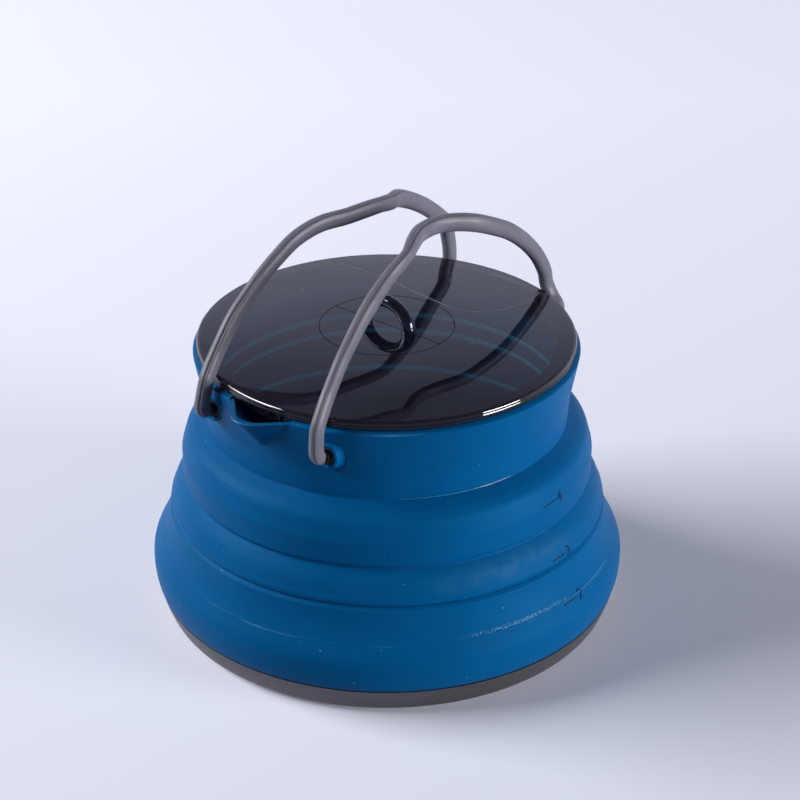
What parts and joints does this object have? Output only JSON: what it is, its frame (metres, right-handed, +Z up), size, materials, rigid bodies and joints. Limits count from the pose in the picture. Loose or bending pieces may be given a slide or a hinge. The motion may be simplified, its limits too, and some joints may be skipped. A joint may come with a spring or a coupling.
{
  "type": "collapsible kettle",
  "caption": "Camping kettle with an aluminium pan, a silicone body that folds into itself, a V-shaped pouring lip, a smoky lid with a finger loop and swinging wire handles.",
  "frame": {"origin": "centre of the pan's flat underside", "axes": "+Z up along the vessel's axis; the spout points along -Y; the handles pivot about lines parallel to Y"},
  "size_m": [0.166, 0.166, 0.1435],
  "materials": {
    "anodised": "hard-anodised, satin",
    "silicone": "satin food-grade silicone",
    "bush": "moulded",
    "steel": "drawn wire",
    "sleeve": "moulded silicone sleeve",
    "smoky": "glossy smoky transparent plastic"
  },
  "bodies": {
    "base": {"pan": "anodised", "bowl": "silicone", "folding_wall": "silicone"},
    "collar": {"collar": "silicone", "eyelet_front_left": "bush", "eyelet_back_left": "bush", "eyelet_front_right": "bush", "eyelet_back_right": "bush"},
    "handle_left": {"wire_left": "steel", "grip_left": "sleeve"},
    "handle_right": {"wire_right": "steel", "grip_right": "sleeve"},
    "lid": {"lid_plate": "smoky", "lid_skirt": "smoky", "lid_loop": "smoky"}
  },
  "joints": [
    {"name": "collapse", "type": "slide", "parent": "base", "child": "collar", "axis": [0, 0, -1], "range_m": [0, 0.044], "deforming": ["folding_wall"]},
    {"name": "swing_left", "type": "hinge", "parent": "collar", "child": "handle_left", "pos_m": [-0.025, 0, 0.089], "axis": [0, 1, 0], "range_deg": [-90, 4]},
    {"name": "swing_right", "type": "hinge", "parent": "collar", "child": "handle_right", "pos_m": [0.025, 0, 0.089], "axis": [0, 1, 0], "range_deg": [-5, 90]},
    {"name": "lid_turn", "type": "hinge", "parent": "collar", "child": "lid", "pos_m": [0, 0, 0.0988], "axis": [0, 0, 1], "continuous": true}
  ]
}
